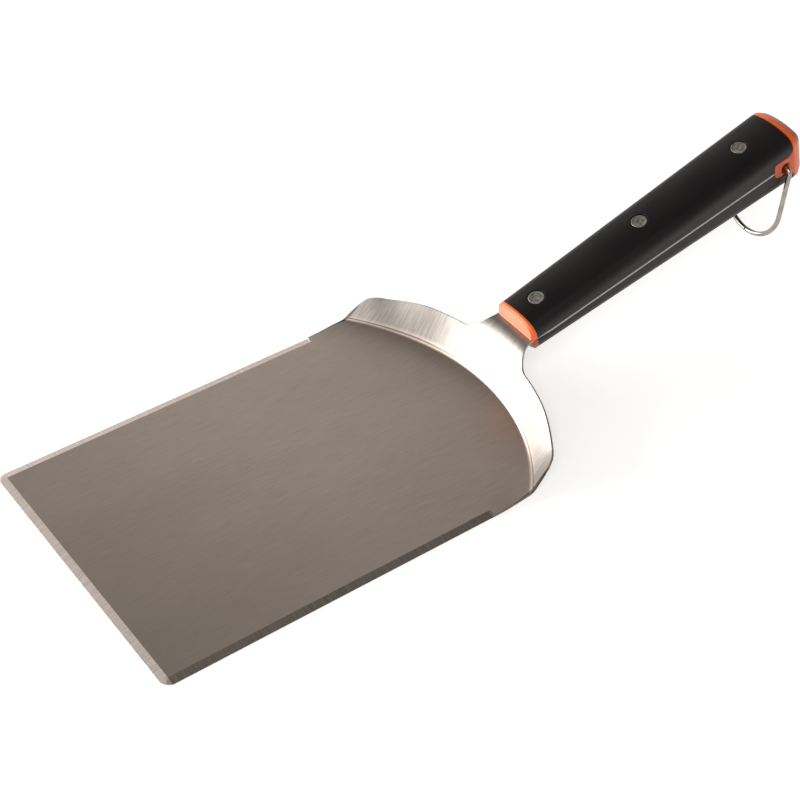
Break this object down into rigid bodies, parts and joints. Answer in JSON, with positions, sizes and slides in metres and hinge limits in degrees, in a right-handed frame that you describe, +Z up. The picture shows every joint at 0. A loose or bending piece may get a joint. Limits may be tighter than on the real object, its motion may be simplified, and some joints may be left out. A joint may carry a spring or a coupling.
{
  "type": "grill spatula",
  "caption": "Wide stainless grill spatula with a bevelled blade, a curved shoulder, a riveted two-scale handle with coloured ends and a swinging wire hanging loop.",
  "frame": {"origin": "centre of the whole tool's outline from above, at the underside of the flat blade", "axes": "+X across the blade, +Y from the blade's front edge towards the handle's end, +Z up, away from the surface the blade lies on"},
  "size_m": [0.1528, 0.4165, 0.0832],
  "materials": {
    "brushed_stainless": "brushed lengthwise",
    "black_plastic": "satin",
    "orange_plastic": "semi-gloss",
    "rivet_steel": "turned and tumbled",
    "polished_wire": "polished"
  },
  "bodies": {
    "spatula": {"blade_and_tang": "brushed_stainless", "upper_scale": "black_plastic", "lower_scale": "black_plastic", "front_bolster_upper": "orange_plastic", "front_bolster_lower": "orange_plastic", "end_cap": "orange_plastic", "front_rivet_tube": "rivet_steel", "front_rivet_pin": "rivet_steel", "middle_rivet_tube": "rivet_steel", "middle_rivet_pin": "rivet_steel", "rear_rivet_tube": "rivet_steel", "rear_rivet_pin": "rivet_steel"},
    "loop": {"hanging_loop": "polished_wire"}
  },
  "joints": [
    {"name": "loop_swing", "type": "hinge", "parent": "spatula", "child": "loop", "pos_m": [0, 0.19444, 0.0647], "axis": [1, 0, 0], "range_deg": [-51, 267]}
  ]
}
